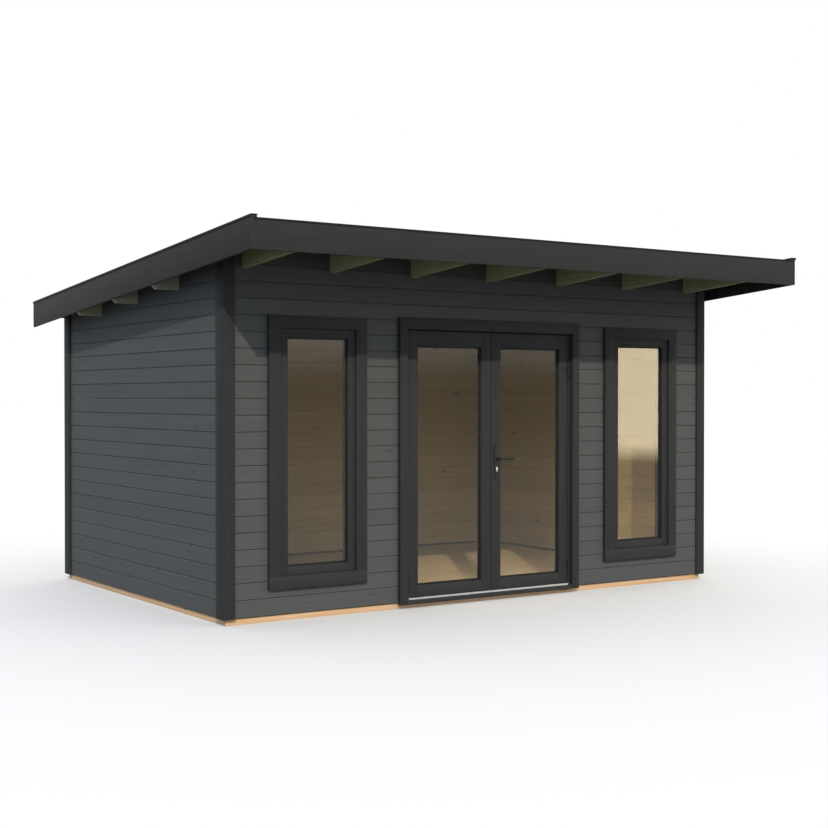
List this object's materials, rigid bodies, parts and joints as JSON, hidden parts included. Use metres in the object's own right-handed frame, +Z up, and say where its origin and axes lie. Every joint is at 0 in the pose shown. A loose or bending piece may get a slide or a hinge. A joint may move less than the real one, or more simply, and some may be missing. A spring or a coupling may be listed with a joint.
{
  "type": "garden cabin",
  "caption": "Low timber garden cabin with a mono-pitch roof that reaches forward over a glazed double door and tall side windows, hollow with a boarded floor.",
  "frame": {"origin": "on the ground under the middle of the roof's outline", "axes": "+X along the front to the right, +Y from the door to the back wall, +Z up"},
  "size_m": [4.908, 4.033, 2.662],
  "materials": {
    "wall_boards": "mid grey opaque stain outside, bare softwood inside",
    "trim_boards": "charcoal opaque stain",
    "base_timber": "brown treated softwood",
    "bare_timber": "planed bare softwood",
    "treated_timber": "green treated softwood",
    "roof_felt": "dark roofing sheet",
    "panes": "clear glass",
    "threshold": "mill finish",
    "dark_hardware": "dark satin",
    "bright_hardware": "nickel plated"
  },
  "bodies": {
    "cabin": {"base_beams_long": "base_timber", "base_beams_short": "base_timber", "floor_joists": "base_timber", "floor": "bare_timber", "front_wall_piers": "wall_boards", "front_wall_sills": "wall_boards", "front_wall_header": "wall_boards", "front_wall_infill": "wall_boards", "left_wall": "wall_boards", "right_wall": "wall_boards", "back_wall": "wall_boards", "corner_board_front_left": "trim_boards", "corner_board_front_right": "trim_boards", "corner_board_back_left": "trim_boards", "corner_board_back_right": "trim_boards", "purlins": "treated_timber", "front_rafters": "treated_timber", "roof_deck": "bare_timber", "roof_felt": "roof_felt", "barge_boards": "trim_boards", "edge_battens": "trim_boards", "front_fascia": "trim_boards", "back_fascia": "trim_boards", "left_window_casing": "trim_boards", "left_window_frame": "trim_boards", "left_window_glass": "panes", "right_window_casing": "trim_boards", "right_window_frame": "trim_boards", "right_window_glass": "panes", "door_casing_sides": "trim_boards", "door_casing_head": "trim_boards", "door_jambs": "trim_boards", "door_head": "trim_boards", "door_sill": "trim_boards", "threshold_strip": "threshold", "frame_hinges": "dark_hardware"},
    "left_leaf": {"left_leaf": "trim_boards", "left_leaf_glass": "panes", "left_leaf_hinges": "dark_hardware"},
    "right_leaf": {"right_leaf": "trim_boards", "right_leaf_glass": "panes", "right_leaf_hinges": "dark_hardware", "handle_plates": "dark_hardware", "lock_cylinders": "bright_hardware"},
    "lever": {"door_lever": "dark_hardware"}
  },
  "joints": [
    {"name": "left_leaf_hinge", "type": "hinge", "parent": "cabin", "child": "left_leaf", "pos_m": [-0.76, -1.2085, 1], "axis": [0, 0, -1], "range_deg": [0, 110]},
    {"name": "right_leaf_hinge", "type": "hinge", "parent": "cabin", "child": "right_leaf", "pos_m": [0.76, -1.2085, 1], "axis": [0, 0, 1], "range_deg": [0, 110]},
    {"name": "lever_turn", "type": "hinge", "parent": "right_leaf", "child": "lever", "pos_m": [0.048, -1.1995, 1.072], "axis": [0, 1, 0], "range_deg": [0, 35], "stiffness_Nm_per_rad": 1.5, "springref_deg": -28.65}
  ]
}
